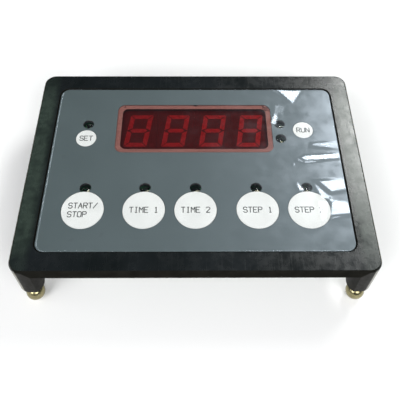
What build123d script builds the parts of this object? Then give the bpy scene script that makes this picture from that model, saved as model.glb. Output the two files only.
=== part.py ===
from build123d import *
import os
from math import radians, tan

# Control head of an enlarger timer: a black moulded frame on four corner legs, with a flat keypad panel,
# a four-digit display, eight indicator LEDs and the circuit board that carries and works them.
# Millimetres. The origin is the middle of the footprint at the level the feet stand on:
# +X is the user's right, +Y points away from the user and +Z is up, out of the keypad.

# ---- frame and legs ----
FRAME_X, FRAME_Y = 170.0, 120.0
HEIGHT = 38.0                # feet to the top of the rim
FRAME_THICK = 6.0
FRAME_CORNER = 6.0
RIM_EDGE = 1.0               # rounding of the rim's outer top edge
RIM_WIDTH = 10.0
RECESS_CORNER = 5.0
RECESS_EDGE = 0.3            # rounding of the rim's inner top edge
LEDGE_WIDTH = 5.0            # shelf in the frame that carries the plate
OPENING_CORNER = 3.0
RIB_THICK, RIB_DEEP = 1.5, 3.0
LEG_WALL = 2.2
LEG_SPAN_X, LEG_SPAN_Y = 9.0, 11.0
LEG_DROP = 20.8              # rim to the end of the leg's wall
BOSS_RADIUS = 6.7
BOSS_INSET = 5.4             # the boss's axis, in from both sides of the frame, which flatten it
BOSS_DROP = 22.4             # rim to the end of the leg's boss
FOOT_RADIUS = 4.6
FOOT_SHANK = 2.0
FOOT_SHANK_LONG = 13.5       # the stretch inside the boss
BORE_SPARE = 1.0             # empty bore past the end of the foot's shank
THREAD_CLEARANCE = 0.05

# ---- panel: film, printed overlay and plate, in the frame's recess ----
PANEL_GAP = 0.5
PANEL_CORNER = 4.5
FILM_DROP = 0.3              # rim to the film's face
FILM_THICK = 0.2
OVERLAY_THICK = 0.5
PLATE_THICK = 1.5

# ---- display ----
DISPLAY_X, DISPLAY_Y = -0.7, 22.5
WINDOW_X, WINDOW_Y, WINDOW_CORNER = 82.8, 32.0, 4.0
CUTOUT_X, CUTOUT_Y, CUTOUT_CORNER = 77.6, 27.0, 3.0
DIGIT_COUNT = 4
DIGIT_PITCH = 19.87
MODULE_X, MODULE_Y = 19.8, 27.6
MODULE_DROP = 2.9            # rim to the modules' face
MODULE_STANDOFF = 1.2        # over the board, clear of the leads that stand up through it
DIGIT_WIDTH, DIGIT_HEIGHT = 12.2, 21.2
DIGIT_SLANT = 8.0            # degrees
BAR_WIDTH, BAR_GAP, BAR_DEEP = 2.5, 0.3, 0.4
POINT_X, POINT_Y, POINT_RADIUS = 7.3, -9.6, 1.15
MODULE_PINS, MODULE_PIN_ROW = 5, 22.86

# ---- keys: name, centre x, centre y ----
LARGE_KEYS = [("start_stop", -54.5, -27.5), ("time_1", -25.0, -27.5), ("time_2", 0.0, -27.5),
              ("step_1", 30.0, -27.5), ("step_2", 55.0, -27.5)]
SMALL_KEYS = [("set", -57.5, 15.7), ("run", 57.2, 21.1)]
KEY_CLEARANCE = 0.2          # round the cap, in the overlay and the plate
KEY_TOP_GAP = 0.05           # cap to film
CAP_THICK = 1.4
SKIRT_WALL = 1.2
SKIRT_INSET = 0.7
LUG_REACH, LUG_THICK, LUG_WIDTH = 1.7, 0.7, 3.0
LUG_GAP = 0.1                # lug to the plate's underside
LUG_ANGLES = (200.0, 270.0, 340.0)
TRAVEL = 0.4
PLUNGER_CLEARANCE = 0.08
PLUNGER_PROUD = 1.2          # plunger's shoulder above its switch
STUB_HIGH = 1.9
STUB_CLEARANCE = 0.1
BORE_FLOOR = 0.7
PLUNGER_SPARE = 0.2          # left under the plunger at full travel
RIVET_RADIUS, RIVET_HIGH = 0.6, 0.3
SWITCH_LEAD_THICK = 0.3
SWITCH_LEAD_UP = 1.0         # how far a lead rises over the board, against its switch
SWITCH_LEAD_GAP = 0.12       # round it in the board
# sizes that differ between the large and the small keys
LARGE = dict(cap=10.2, post=3.2, stub=3.8, plunger=3.3, switch=12.0, switch_high=3.5,
             lead_x=6.15, lead_y=2.5, lead_width=1.0)
SMALL = dict(cap=5.25, post=2.3, stub=2.0, plunger=1.75, switch=6.2, switch_high=3.5,
             lead_x=3.25, lead_y=2.25, lead_width=0.7)

# ---- indicator LEDs ----
KEY_TO_LED = 12.5
LED_PLACES = [(x, y + KEY_TO_LED) for _, x, y in LARGE_KEYS] + [(-57.2, 25.0), (45.0, 25.1), (45.0, 15.5)]
LED_RADIUS, LED_FLANGE = 2.5, 2.9
LED_FLANGE_HIGH = 1.0
LED_HOLE = 2.9
LED_DROP = 2.0               # rim to the top of the LED's dome
LED_STANDOFF = 0.2
LED_LEAD_HALF_PITCH = 1.27

# ---- circuit board and what fixes it ----
BOARD_X, BOARD_Y, BOARD_CORNER = 138.0, 88.0, 2.0
BOARD_DROP = 11.4            # rim to the board's top
BOARD_THICK = 1.6
SPACER_PLACES = [(-64.5, -38.5), (64.5, -38.5), (-64.5, 38.5), (64.5, 38.5), (15.0, -39.0), (0.0, 40.0)]
SPACER_RADIUS = 2.6          # to the hexagon's corners
SPACER_COLLAR, SPACER_COLLAR_HIGH = 2.1, 1.3
SPACER_BORE_END = 1.0        # solid end of the spacer, under the plate
BOARD_SCREW, BOARD_SCREW_LONG = 1.5, 8.0
BOARD_SCREW_HEAD, BOARD_SCREW_HEAD_HIGH, BOARD_SCREW_HEAD_EDGE = 2.75, 2.0, 0.8
BOARD_SCREW_HOLE = 1.65
PLATE_SCREW, PLATE_SCREW_LONG = 1.25, 4.0
PLATE_SCREW_HEAD = 2.2
PLATE_CORNER_SCREW_X, PLATE_CORNER_SCREW_Y = 71.6, 46.6
PLATE_SIDE_SCREW_X, PLATE_SIDE_SCREW_Y = 71.9, 46.9
PLATE_SCREW_PLACES = [(sx * PLATE_CORNER_SCREW_X, sy * PLATE_CORNER_SCREW_Y)
                      for sx in (-1, 1) for sy in (-1, 1)]
PLATE_SCREW_PLACES += [(0.0, side * PLATE_SIDE_SCREW_Y) for side in (-1, 1)]
PLATE_SCREW_PLACES += [(side * PLATE_SIDE_SCREW_X, 0.0) for side in (-1, 1)]
DRIVE_SLOT_WIDTH, DRIVE_SLOT_DEEP = 0.6, 0.7

# ---- electronics under the board ----
PIN_PITCH = 2.54
LEAD = 0.5                   # side of a square lead
LEAD_HOLE = 0.45             # radius of its hole in the board
LEAD_PROUD = 0.9             # what a lead stands past the board
LEAD_IN = 0.5                # what a lead reaches into its part
CHIP_STANDOFF = 0.5
CHIP_LEG_WIDTH, CHIP_LEG_THICK = 1.3, 0.3
CHIP_END = 0.5               # package past the outermost pins' half pitch
CHIP_EDGE = 0.3
CHIP_NOTCH, CHIP_NOTCH_DEEP = 1.2, 0.6
MICROCONTROLLER = dict(x=-30.0, y=-2.0, pins=20, rows=15.24, width=13.6, high=3.9)
DRIVER = dict(x=22.0, y=-2.0, pins=12, rows=7.62, width=6.4, high=3.4)
NETWORK_PLACES = [(-40.0, -20.0), (13.0, -20.0), (42.5, -20.0)]
NETWORK_PINS = 7
NETWORK_THICK, NETWORK_HIGH, NETWORK_EDGE = 2.4, 5.0, 0.8
CAPACITOR_PLACES = [(44.5, -7.0), (44.5, 4.0), (-48.0, 28.0)]
CAPACITOR_RADIUS, CAPACITOR_HIGH, CAPACITOR_EDGE = 4.0, 8.6, 0.5
CRIMP_DROP, CRIMP_RADIUS = 1.6, 0.5    # the groove round the can
CRIMP_SHALLOW = 0.2          # how far outside the can its middle is
CAPACITOR_LEADS = 1.75
CRYSTAL_X, CRYSTAL_Y = -62.0, -2.0
CRYSTAL_WIDE, CRYSTAL_LONG, CRYSTAL_HIGH = 4.4, 10.6, 3.5
CRYSTAL_CORNER = 2.15
CRYSTAL_FLANGE = 0.4         # its thickness, what it stands out, and the rounding of the can's top
CRYSTAL_LEADS = 2.44
REGULATOR_X, REGULATOR_Y = 58.0, -1.0
REGULATOR_WIDE, REGULATOR_BODY_LONG, REGULATOR_HIGH = 10.0, 9.0, 4.4
REGULATOR_TAB_LONG, REGULATOR_TAB_THICK, REGULATOR_HOLE = 6.2, 1.3, 1.8
REGULATOR_EDGE, REGULATOR_LEAD_WIDE, REGULATOR_BEND = 0.4, 0.8, 3.0
BUZZER_X, BUZZER_Y = 24.0, 22.5
BUZZER_RADIUS, BUZZER_HIGH, BUZZER_EDGE = 7.0, 7.0, 0.6
BUZZER_PORT, BUZZER_PORT_DEEP = 1.2, 3.0
BUZZER_LEADS = 3.25
HEADER_X, HEADER_Y = -14.0, 22.5
HEADER_PINS = 8
HEADER_WALL = 1.1
HEADER_END = 5.1             # outermost pins to the shell's ends
HEADER_WIDE, HEADER_HIGH, HEADER_BASE = 8.8, 8.9, 2.4
HEADER_KEY_WIDE = 4.5
HEADER_PIN, HEADER_PIN_SHORT = 0.64, 1.6    # side of a pin, and how far it ends inside the shell's mouth

# ---- levels worked out from the sizes above ----
FILM_TOP = HEIGHT - FILM_DROP
OVERLAY_TOP = FILM_TOP - FILM_THICK
PLATE_TOP = OVERLAY_TOP - OVERLAY_THICK
PLATE_BOTTOM = PLATE_TOP - PLATE_THICK
FRAME_BOTTOM = HEIGHT - FRAME_THICK
BOARD_TOP = HEIGHT - BOARD_DROP
BOARD_BOTTOM = BOARD_TOP - BOARD_THICK
MODULE_TOP = HEIGHT - MODULE_DROP
MODULE_BOTTOM = BOARD_TOP + MODULE_STANDOFF
BOSS_BOTTOM = HEIGHT - BOSS_DROP
CAP_TOP = OVERLAY_TOP - KEY_TOP_GAP
CAP_BOTTOM = CAP_TOP - CAP_THICK
LEAD_END_BELOW = BOARD_BOTTOM - LEAD_PROUD
LEAD_END_ABOVE = BOARD_TOP + LEAD_PROUD
RECESS_X, RECESS_Y = FRAME_X - 2 * RIM_WIDTH, FRAME_Y - 2 * RIM_WIDTH
OPENING_X, OPENING_Y = RECESS_X - 2 * LEDGE_WIDTH, RECESS_Y - 2 * LEDGE_WIDTH
FOOT_PLACES = [(sx * (FRAME_X / 2 - BOSS_INSET), sy * (FRAME_Y / 2 - BOSS_INSET))
               for sx in (-1, 1) for sy in (-1, 1)]
DIGIT_PLACES = [DISPLAY_X + (i - (DIGIT_COUNT - 1) / 2) * DIGIT_PITCH for i in range(DIGIT_COUNT)]
KEYS = [(name, x, y, LARGE) for name, x, y in LARGE_KEYS]
KEYS += [(name, x, y, SMALL) for name, x, y in SMALL_KEYS]
ON_BASE = (Align.CENTER, Align.CENTER, Align.MIN)


# ---- helpers ----
def slab(sketch, bottom, top):
    """A sketch extruded between two heights."""
    return Pos(0, 0, bottom) * extrude(sketch, top - bottom, dir=(0, 0, 1))


def disc(x, y, radius, bottom, top):
    return Pos(x, y, bottom) * Cylinder(radius, top - bottom, align=ON_BASE)


def block(x, y, size_x, size_y, bottom, top):
    return Pos(x, y, bottom) * Box(size_x, size_y, top - bottom, align=ON_BASE)


def spread(count, pitch):
    """Evenly spaced values about zero."""
    return [(i - (count - 1) / 2) * pitch for i in range(count)]


def save(name, *shapes):
    """Writes one node: a single solid, or a group of separate solids."""
    shape = shapes[0] if len(shapes) == 1 else Compound(children=list(shapes))
    export_step(shape, f"parts/{name}.step")


# ---- places of the leads, shared by the pieces and by the board's holes ----
def module_pin_places():
    return [(x + px, DISPLAY_Y + row) for x in DIGIT_PLACES for px in spread(MODULE_PINS, PIN_PITCH)
            for row in (-MODULE_PIN_ROW / 2, MODULE_PIN_ROW / 2)]


def led_lead_places():
    return [(x + side * LED_LEAD_HALF_PITCH, y) for x, y in LED_PLACES for side in (-1, 1)]


def switch_lead_places():
    """Centre, lead width and side of each switch lead."""
    return [(x + sx * kind["lead_x"], y + sy * kind["lead_y"], kind["lead_width"])
            for _, x, y, kind in KEYS for sx in (-1, 1) for sy in (-1, 1)]


def chip_pin_places(chip):
    return [(chip["x"] + px, chip["y"] + side * chip["rows"] / 2)
            for px in spread(chip["pins"], PIN_PITCH) for side in (-1, 1)]


def network_pin_places():
    return [(x + px, y) for x, y in NETWORK_PLACES for px in spread(NETWORK_PINS, PIN_PITCH)]


def capacitor_lead_places():
    return [(x + side * CAPACITOR_LEADS, y) for x, y in CAPACITOR_PLACES for side in (-1, 1)]


def crystal_lead_places():
    return [(CRYSTAL_X, CRYSTAL_Y + side * CRYSTAL_LEADS) for side in (-1, 1)]


def regulator_lead_places():
    y = REGULATOR_Y - REGULATOR_BODY_LONG / 2 - REGULATOR_BEND
    return [(REGULATOR_X + px, y) for px in spread(3, PIN_PITCH)]


def buzzer_lead_places():
    return [(BUZZER_X + side * BUZZER_LEADS, BUZZER_Y) for side in (-1, 1)]


def header_pin_places():
    return [(HEADER_X + px, HEADER_Y + side * PIN_PITCH / 2)
            for px in spread(HEADER_PINS, PIN_PITCH) for side in (-1, 1)]


# ---- frame ----
def legs():
    """At each corner a wall that follows the frame's outline, and a boss cut flat by that outline."""
    outline = RectangleRounded(FRAME_X, FRAME_Y, FRAME_CORNER)
    inside = RectangleRounded(FRAME_X - 2 * LEG_WALL, FRAME_Y - 2 * LEG_WALL, FRAME_CORNER - LEG_WALL)
    block_of_outline = slab(outline, BOSS_BOTTOM, FRAME_BOTTOM)
    pieces = []
    for x, y in FOOT_PLACES:
        sx = 1 if x > 0 else -1
        sy = 1 if y > 0 else -1
        corner = Pos(sx * (FRAME_X - LEG_SPAN_X) / 2, sy * (FRAME_Y - LEG_SPAN_Y) / 2)
        wall = (outline - inside) & (corner * Rectangle(LEG_SPAN_X, LEG_SPAN_Y))
        pieces.append(slab(wall, HEIGHT - LEG_DROP, FRAME_BOTTOM))
        pieces.append(disc(x, y, BOSS_RADIUS, BOSS_BOTTOM, FRAME_BOTTOM) & block_of_outline)
    return pieces


def front_bezel():
    outline = RectangleRounded(FRAME_X, FRAME_Y, FRAME_CORNER)
    recess = RectangleRounded(RECESS_X, RECESS_Y, RECESS_CORNER)
    opening = RectangleRounded(OPENING_X, OPENING_Y, OPENING_CORNER)
    rib = RectangleRounded(OPENING_X + 2 * RIB_THICK, OPENING_Y + 2 * RIB_THICK, OPENING_CORNER + RIB_THICK)
    body = slab(outline, FRAME_BOTTOM, HEIGHT)
    body = fillet(body.edges().group_by(Axis.Z)[-1], RIM_EDGE)
    body -= slab(recess, PLATE_BOTTOM, HEIGHT)
    inner_edges = [e for e in body.edges().group_by(Axis.Z)[-1]
                   if e.bounding_box().max.X <= RECESS_X / 2 + RIM_EDGE
                   and e.bounding_box().min.X >= -RECESS_X / 2 - RIM_EDGE
                   and e.bounding_box().max.Y <= RECESS_Y / 2 + RIM_EDGE
                   and e.bounding_box().min.Y >= -RECESS_Y / 2 - RIM_EDGE]
    body = fillet(inner_edges, RECESS_EDGE)
    body -= slab(opening, FRAME_BOTTOM, HEIGHT)
    body += slab(rib - opening, FRAME_BOTTOM - RIB_DEEP, FRAME_BOTTOM)
    body += legs()
    bore = FOOT_SHANK + THREAD_CLEARANCE
    bore_top = BOSS_BOTTOM + FOOT_SHANK_LONG + BORE_SPARE
    body -= [disc(x, y, bore, BOSS_BOTTOM, bore_top) for x, y in FOOT_PLACES]
    pilot = PLATE_SCREW + THREAD_CLEARANCE
    body -= [disc(x, y, pilot, FRAME_BOTTOM, PLATE_BOTTOM) for x, y in PLATE_SCREW_PLACES]
    return body


def foot_screw(x, y):
    """A metal ball foot on a threaded shank."""
    ball = Pos(x, y, FOOT_RADIUS) * Sphere(FOOT_RADIUS)
    return ball + disc(x, y, FOOT_SHANK, FOOT_RADIUS, BOSS_BOTTOM + FOOT_SHANK_LONG)


# ---- panel ----
def panel_outline():
    return RectangleRounded(RECESS_X - 2 * PANEL_GAP, RECESS_Y - 2 * PANEL_GAP, PANEL_CORNER)


def key_and_led_holes():
    """What the keys and LEDs take out of the overlay and of the plate."""
    holes = [Pos(x, y) * Circle(kind["cap"] + KEY_CLEARANCE) for _, x, y, kind in KEYS]
    return holes + [Pos(x, y) * Circle(LED_HOLE) for x, y in LED_PLACES]


def window_outline():
    return Pos(DISPLAY_X, DISPLAY_Y) * RectangleRounded(WINDOW_X, WINDOW_Y, WINDOW_CORNER)


def graphic_overlay():
    return slab(panel_outline() - key_and_led_holes() - window_outline(), PLATE_TOP, OVERLAY_TOP)


def backing_plate():
    cutout = Pos(DISPLAY_X, DISPLAY_Y) * RectangleRounded(CUTOUT_X, CUTOUT_Y, CUTOUT_CORNER)
    plate = slab(panel_outline() - key_and_led_holes() - cutout, PLATE_BOTTOM, PLATE_TOP)
    plate -= [disc(x, y, SPACER_COLLAR, PLATE_BOTTOM, PLATE_TOP) for x, y in SPACER_PLACES]
    plate -= [countersunk_screw(x, y, THREAD_CLEARANCE) for x, y in PLATE_SCREW_PLACES]
    return plate


def countersunk_screw(x, y, grow=0.0):
    """A flat-head screw with its top flush with the plate; grow makes the hole that takes it."""
    sink = PLATE_SCREW_HEAD - PLATE_SCREW
    head = Cone(PLATE_SCREW + grow, PLATE_SCREW_HEAD + grow, sink, align=ON_BASE)
    shank = disc(x, y, PLATE_SCREW + grow, PLATE_TOP - PLATE_SCREW_LONG, PLATE_TOP - sink)
    return Pos(x, y, PLATE_TOP - sink) * head + shank


def cross_slot(x, y, bottom, top, reach):
    """The cutter for a screw's cross recess."""
    slot = block(x, y, reach, DRIVE_SLOT_WIDTH, bottom, top)
    return slot + block(x, y, DRIVE_SLOT_WIDTH, reach, bottom, top)


def plate_screw(x, y):
    slot = cross_slot(x, y, PLATE_TOP - DRIVE_SLOT_DEEP, PLATE_TOP, PLATE_SCREW_HEAD)
    return countersunk_screw(x, y) - slot


# ---- keys and switches ----
def key_cap(x, y, kind):
    """A round cap with a skirt, lugs that hold it under the plate, and a post with a square socket."""
    radius = kind["cap"]
    skirt = radius - SKIRT_INSET
    lug_top = PLATE_BOTTOM - LUG_GAP
    shoulder = BOARD_TOP + kind["switch_high"] + PLUNGER_PROUD
    cap = disc(0, 0, radius, CAP_BOTTOM, CAP_TOP)
    cap += disc(0, 0, skirt, lug_top - LUG_THICK, CAP_BOTTOM)
    cap -= disc(0, 0, skirt - SKIRT_WALL, lug_top - LUG_THICK, CAP_BOTTOM)
    for angle in LUG_ANGLES:
        lug = Pos(skirt - SKIRT_WALL / 2 + LUG_REACH / 2, 0, lug_top - LUG_THICK)
        lug *= Box(LUG_REACH + SKIRT_WALL, LUG_WIDTH, LUG_THICK, align=ON_BASE)
        cap += Rot(0, 0, angle) * lug
    cap += disc(0, 0, kind["post"], shoulder, CAP_BOTTOM)
    socket = kind["stub"] + 2 * STUB_CLEARANCE
    cap -= block(0, 0, socket, socket, shoulder, shoulder + STUB_HIGH + STUB_CLEARANCE)
    return Pos(x, y) * cap


def switch_plunger(x, y, kind):
    """The part of the switch that the cap pushes down."""
    shoulder = BOARD_TOP + kind["switch_high"] + PLUNGER_PROUD
    foot = BOARD_TOP + BORE_FLOOR + TRAVEL + PLUNGER_SPARE
    stem = disc(x, y, kind["plunger"], foot, shoulder)
    return stem + block(x, y, kind["stub"], kind["stub"], shoulder, shoulder + STUB_HIGH)


def switch_body(x, y, kind):
    """The housing that guides the plunger, with the rivets that hold its metal top."""
    top = BOARD_TOP + kind["switch_high"]
    corner = kind["switch"] / 2 - 2 * RIVET_RADIUS
    body = block(x, y, kind["switch"], kind["switch"], BOARD_TOP, top)
    body -= disc(x, y, kind["plunger"] + PLUNGER_CLEARANCE, BOARD_TOP + BORE_FLOOR, top)
    for sx in (-1, 1):
        for sy in (-1, 1):
            body += disc(x + sx * corner, y + sy * corner, RIVET_RADIUS, top, top + RIVET_HIGH)
    return body


# ---- display ----
def bar_outlines():
    """The seven bars of a digit about its centre, slanted."""
    w, h, s, g = DIGIT_WIDTH / 2, DIGIT_HEIGHT / 2, BAR_WIDTH, BAR_GAP
    top = [(-w + g, h), (w - g, h), (w - s - g, h - s), (-w + s + g, h - s)]
    side = [(w, h - g), (w, g), (w - s, s / 2 + g), (w - s, h - s - g)]
    end = [(w - s - g, -s / 2), (w - s / 2 - g, 0.0), (w - s - g, s / 2)]
    bars = [top, side, end + [(-px, -py) for px, py in end]]
    bars += [[(px, -py) for px, py in top]]
    bars += [[(sx * px, sy * py) for px, py in side] for sx, sy in ((-1, 1), (1, -1), (-1, -1))]
    lean = tan(radians(DIGIT_SLANT))
    return [[(px + lean * py, py) for px, py in bar] for bar in bars]


def digit_segments(x):
    """The bars and the decimal point of one digit, each a separate solid."""
    bottom = MODULE_TOP - BAR_DEEP
    bars = [Pos(x, DISPLAY_Y) * slab(Polygon(*bar, align=None), bottom, MODULE_TOP)
            for bar in bar_outlines()]
    return bars + [disc(x + POINT_X, DISPLAY_Y + POINT_Y, POINT_RADIUS, bottom, MODULE_TOP)]


def digit_body(x):
    return block(x, DISPLAY_Y, MODULE_X, MODULE_Y, MODULE_BOTTOM, MODULE_TOP) - digit_segments(x)


# ---- indicator LEDs ----
def indicator_led(x, y):
    """A round LED: flange, barrel and domed top."""
    bottom = BOARD_TOP + LED_STANDOFF
    dome_centre = HEIGHT - LED_DROP - LED_RADIUS
    led = disc(x, y, LED_FLANGE, bottom, bottom + LED_FLANGE_HIGH)
    led += disc(x, y, LED_RADIUS, bottom, dome_centre)
    return led + Pos(x, y, dome_centre) * Sphere(LED_RADIUS)


# ---- circuit board and its fixings ----
def circuit_board():
    board = slab(RectangleRounded(BOARD_X, BOARD_Y, BOARD_CORNER), BOARD_BOTTOM, BOARD_TOP)
    holes = [(x, y, BOARD_SCREW_HOLE) for x, y in SPACER_PLACES]
    holes += [(x, y, width / 2 + SWITCH_LEAD_GAP) for x, y, width in switch_lead_places()]
    leads = module_pin_places() + led_lead_places() + header_pin_places() + network_pin_places()
    leads += chip_pin_places(MICROCONTROLLER) + chip_pin_places(DRIVER) + capacitor_lead_places()
    leads += crystal_lead_places() + regulator_lead_places() + buzzer_lead_places()
    holes += [(x, y, LEAD_HOLE) for x, y in leads]
    return board - [disc(x, y, radius, BOARD_BOTTOM, BOARD_TOP) for x, y, radius in holes]


def board_spacer(x, y):
    """A hexagonal threaded spacer pressed into the plate."""
    spacer = Pos(x, y) * slab(RegularPolygon(SPACER_RADIUS, 6), BOARD_TOP, PLATE_BOTTOM)
    spacer += disc(x, y, SPACER_COLLAR, PLATE_BOTTOM, PLATE_BOTTOM + SPACER_COLLAR_HIGH)
    return spacer - disc(x, y, BOARD_SCREW + THREAD_CLEARANCE, BOARD_TOP, PLATE_BOTTOM - SPACER_BORE_END)


def board_screw(x, y):
    head = disc(x, y, BOARD_SCREW_HEAD, BOARD_BOTTOM - BOARD_SCREW_HEAD_HIGH, BOARD_BOTTOM)
    head = fillet(head.edges().group_by(Axis.Z)[0], BOARD_SCREW_HEAD_EDGE)
    face = BOARD_BOTTOM - BOARD_SCREW_HEAD_HIGH
    head -= cross_slot(x, y, face, face + DRIVE_SLOT_DEEP, BOARD_SCREW_HEAD)
    return head + disc(x, y, BOARD_SCREW, BOARD_BOTTOM, BOARD_BOTTOM + BOARD_SCREW_LONG)


# ---- electronics ----
def lead(x, y, bottom, top, width=LEAD):
    return block(x, y, width, LEAD, bottom, top)


def dual_row_chip(chip):
    """A chip under the board: its package with an end notch, and two rows of pins up through the board."""
    top = BOARD_BOTTOM - CHIP_STANDOFF
    middle = top - chip["high"] / 2
    bottom = top - chip["high"]
    length = chip["pins"] * PIN_PITCH + 2 * CHIP_END
    body = block(chip["x"], chip["y"], length, chip["width"], bottom, top)
    body = chamfer(body.edges().filter_by(Axis.Z, reverse=True), CHIP_EDGE)
    body -= disc(chip["x"] - length / 2, chip["y"], CHIP_NOTCH, bottom, bottom + CHIP_NOTCH_DEEP)
    half_leg = CHIP_LEG_THICK / 2
    for x, y in chip_pin_places(chip):
        side = 1 if y > chip["y"] else -1
        reach = (chip["rows"] - chip["width"]) / 2 + CHIP_LEG_THICK
        shoulder = chip["y"] + side * (chip["width"] / 2 + reach / 2 - half_leg)
        body += block(x, shoulder, CHIP_LEG_WIDTH, reach, middle - half_leg, middle + half_leg)
        body += block(x, y, CHIP_LEG_WIDTH, CHIP_LEG_THICK, middle, BOARD_BOTTOM)
        body += block(x, y, LEAD, CHIP_LEG_THICK, BOARD_BOTTOM, LEAD_END_ABOVE)
    return body


def resistor_network(x, y):
    """A flat single-row resistor pack standing on its pins."""
    length = NETWORK_PINS * PIN_PITCH
    top = BOARD_BOTTOM - CHIP_STANDOFF
    body = block(x, y, length, NETWORK_THICK, top - NETWORK_HIGH, top)
    body = fillet(body.edges().filter_by(Axis.Y), NETWORK_EDGE)
    for px in spread(NETWORK_PINS, PIN_PITCH):
        body += lead(x + px, y, top - LEAD_IN, LEAD_END_ABOVE)
    return body


def capacitor(x, y):
    """A can capacitor with a crimp groove near its base."""
    bottom = BOARD_BOTTOM - CAPACITOR_HIGH
    can = disc(x, y, CAPACITOR_RADIUS, bottom, BOARD_BOTTOM)
    can = fillet(can.edges().filter_by(GeomType.CIRCLE), CAPACITOR_EDGE)
    can -= Pos(x, y, BOARD_BOTTOM - CRIMP_DROP) * Torus(CAPACITOR_RADIUS + CRIMP_SHALLOW, CRIMP_RADIUS)
    for side in (-1, 1):
        can += lead(x + side * CAPACITOR_LEADS, y, BOARD_BOTTOM - LEAD_IN, LEAD_END_ABOVE)
    return can


def crystal():
    """A low metal crystal can with a base flange."""
    place = Pos(CRYSTAL_X, CRYSTAL_Y)
    grow = 2 * CRYSTAL_FLANGE
    outline = RectangleRounded(CRYSTAL_WIDE, CRYSTAL_LONG, CRYSTAL_CORNER)
    flange = RectangleRounded(CRYSTAL_WIDE + grow, CRYSTAL_LONG + grow, CRYSTAL_CORNER + CRYSTAL_FLANGE)
    can = place * slab(outline, BOARD_BOTTOM - CRYSTAL_HIGH, BOARD_BOTTOM)
    can = fillet(can.edges().group_by(Axis.Z)[0], CRYSTAL_FLANGE)
    can += place * slab(flange, BOARD_BOTTOM - CRYSTAL_FLANGE, BOARD_BOTTOM)
    for x, y in crystal_lead_places():
        can += lead(x, y, BOARD_BOTTOM - CRYSTAL_FLANGE, LEAD_END_ABOVE)
    return can


def voltage_regulator():
    """A regulator lying under the board, with its metal tab and three bent leads."""
    top = BOARD_BOTTOM - CHIP_STANDOFF
    middle = top - REGULATOR_HIGH / 2
    tab_y = REGULATOR_Y + (REGULATOR_BODY_LONG + REGULATOR_TAB_LONG) / 2
    body = block(REGULATOR_X, REGULATOR_Y, REGULATOR_WIDE, REGULATOR_BODY_LONG, top - REGULATOR_HIGH, top)
    body = chamfer(body.edges().group_by(Axis.Z)[0], REGULATOR_EDGE)
    body += block(REGULATOR_X, tab_y, REGULATOR_WIDE, REGULATOR_TAB_LONG, top - REGULATOR_TAB_THICK, top)
    body -= disc(REGULATOR_X, tab_y, REGULATOR_HOLE, top - REGULATOR_TAB_THICK, top)
    for x, y in regulator_lead_places():
        run = REGULATOR_BEND + LEAD / 2
        run_y = y + (run - LEAD) / 2
        body += block(x, run_y, REGULATOR_LEAD_WIDE, run, middle - LEAD / 2, middle + LEAD / 2)
        body += lead(x, y, middle, LEAD_END_ABOVE)
    return body


def buzzer():
    """A round sounder with its sound port facing down."""
    bottom = BOARD_BOTTOM - BUZZER_HIGH
    body = disc(BUZZER_X, BUZZER_Y, BUZZER_RADIUS, bottom, BOARD_BOTTOM)
    body = fillet(body.edges().group_by(Axis.Z)[0], BUZZER_EDGE)
    body -= disc(BUZZER_X, BUZZER_Y, BUZZER_PORT, bottom, bottom + BUZZER_PORT_DEEP)
    for x, y in buzzer_lead_places():
        body += lead(x, y, BOARD_BOTTOM - LEAD_IN, LEAD_END_ABOVE)
    return body


def header_shell():
    """The open shroud of the plug-in connection, with its keying slot."""
    bottom = BOARD_BOTTOM - HEADER_HIGH
    base_bottom = BOARD_BOTTOM - HEADER_BASE
    length = (HEADER_PINS - 1) * PIN_PITCH + 2 * HEADER_END
    inner_length, inner_width = length - 2 * HEADER_WALL, HEADER_WIDE - 2 * HEADER_WALL
    shell = block(HEADER_X, HEADER_Y, length, HEADER_WIDE, bottom, BOARD_BOTTOM)
    shell -= block(HEADER_X, HEADER_Y, inner_length, inner_width, bottom, base_bottom)
    slot_y = HEADER_Y - HEADER_WIDE / 2 + HEADER_WALL / 2
    shell -= block(HEADER_X, slot_y, HEADER_KEY_WIDE, 2 * HEADER_WALL, bottom, base_bottom)
    hole = HEADER_PIN + 2 * THREAD_CLEARANCE
    return shell - [block(x, y, hole, hole, base_bottom, BOARD_BOTTOM) for x, y in header_pin_places()]


def header_pin(x, y):
    bottom = BOARD_BOTTOM - HEADER_HIGH + HEADER_PIN_SHORT
    return block(x, y, HEADER_PIN, HEADER_PIN, bottom, LEAD_END_ABOVE)


# ---- write every node ----
os.makedirs("parts", exist_ok=True)
save("front_bezel", front_bezel())
save("foot_screws", *[foot_screw(x, y) for x, y in FOOT_PLACES])
save("clear_film", slab(panel_outline(), OVERLAY_TOP, FILM_TOP))
save("graphic_overlay", graphic_overlay())
save("display_window", slab(window_outline(), PLATE_TOP, OVERLAY_TOP))
save("backing_plate", backing_plate())
save("plate_screws", *[plate_screw(x, y) for x, y in PLATE_SCREW_PLACES])
for key_name, key_x, key_y, key_kind in KEYS:
    save(f"key_cap_{key_name}", key_cap(key_x, key_y, key_kind))
    save(f"switch_plunger_{key_name}", switch_plunger(key_x, key_y, key_kind))
    save(f"switch_body_{key_name}", switch_body(key_x, key_y, key_kind))
save("switch_leads", *[block(x, y, SWITCH_LEAD_THICK, width, LEAD_END_BELOW, BOARD_TOP + SWITCH_LEAD_UP)
                       for x, y, width in switch_lead_places()])
for number, digit_x in enumerate(DIGIT_PLACES, start=1):
    save(f"digit_body_{number}", digit_body(digit_x))
    save(f"digit_segments_{number}", *digit_segments(digit_x))
save("digit_pins", *[lead(x, y, LEAD_END_BELOW, MODULE_BOTTOM) for x, y in module_pin_places()])
for number, (led_x, led_y) in enumerate(LED_PLACES, start=1):
    save(f"indicator_led_{number}", indicator_led(led_x, led_y))
save("led_leads", *[lead(x, y, LEAD_END_BELOW, BOARD_TOP + LED_STANDOFF) for x, y in led_lead_places()])
save("circuit_board", circuit_board())
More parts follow.
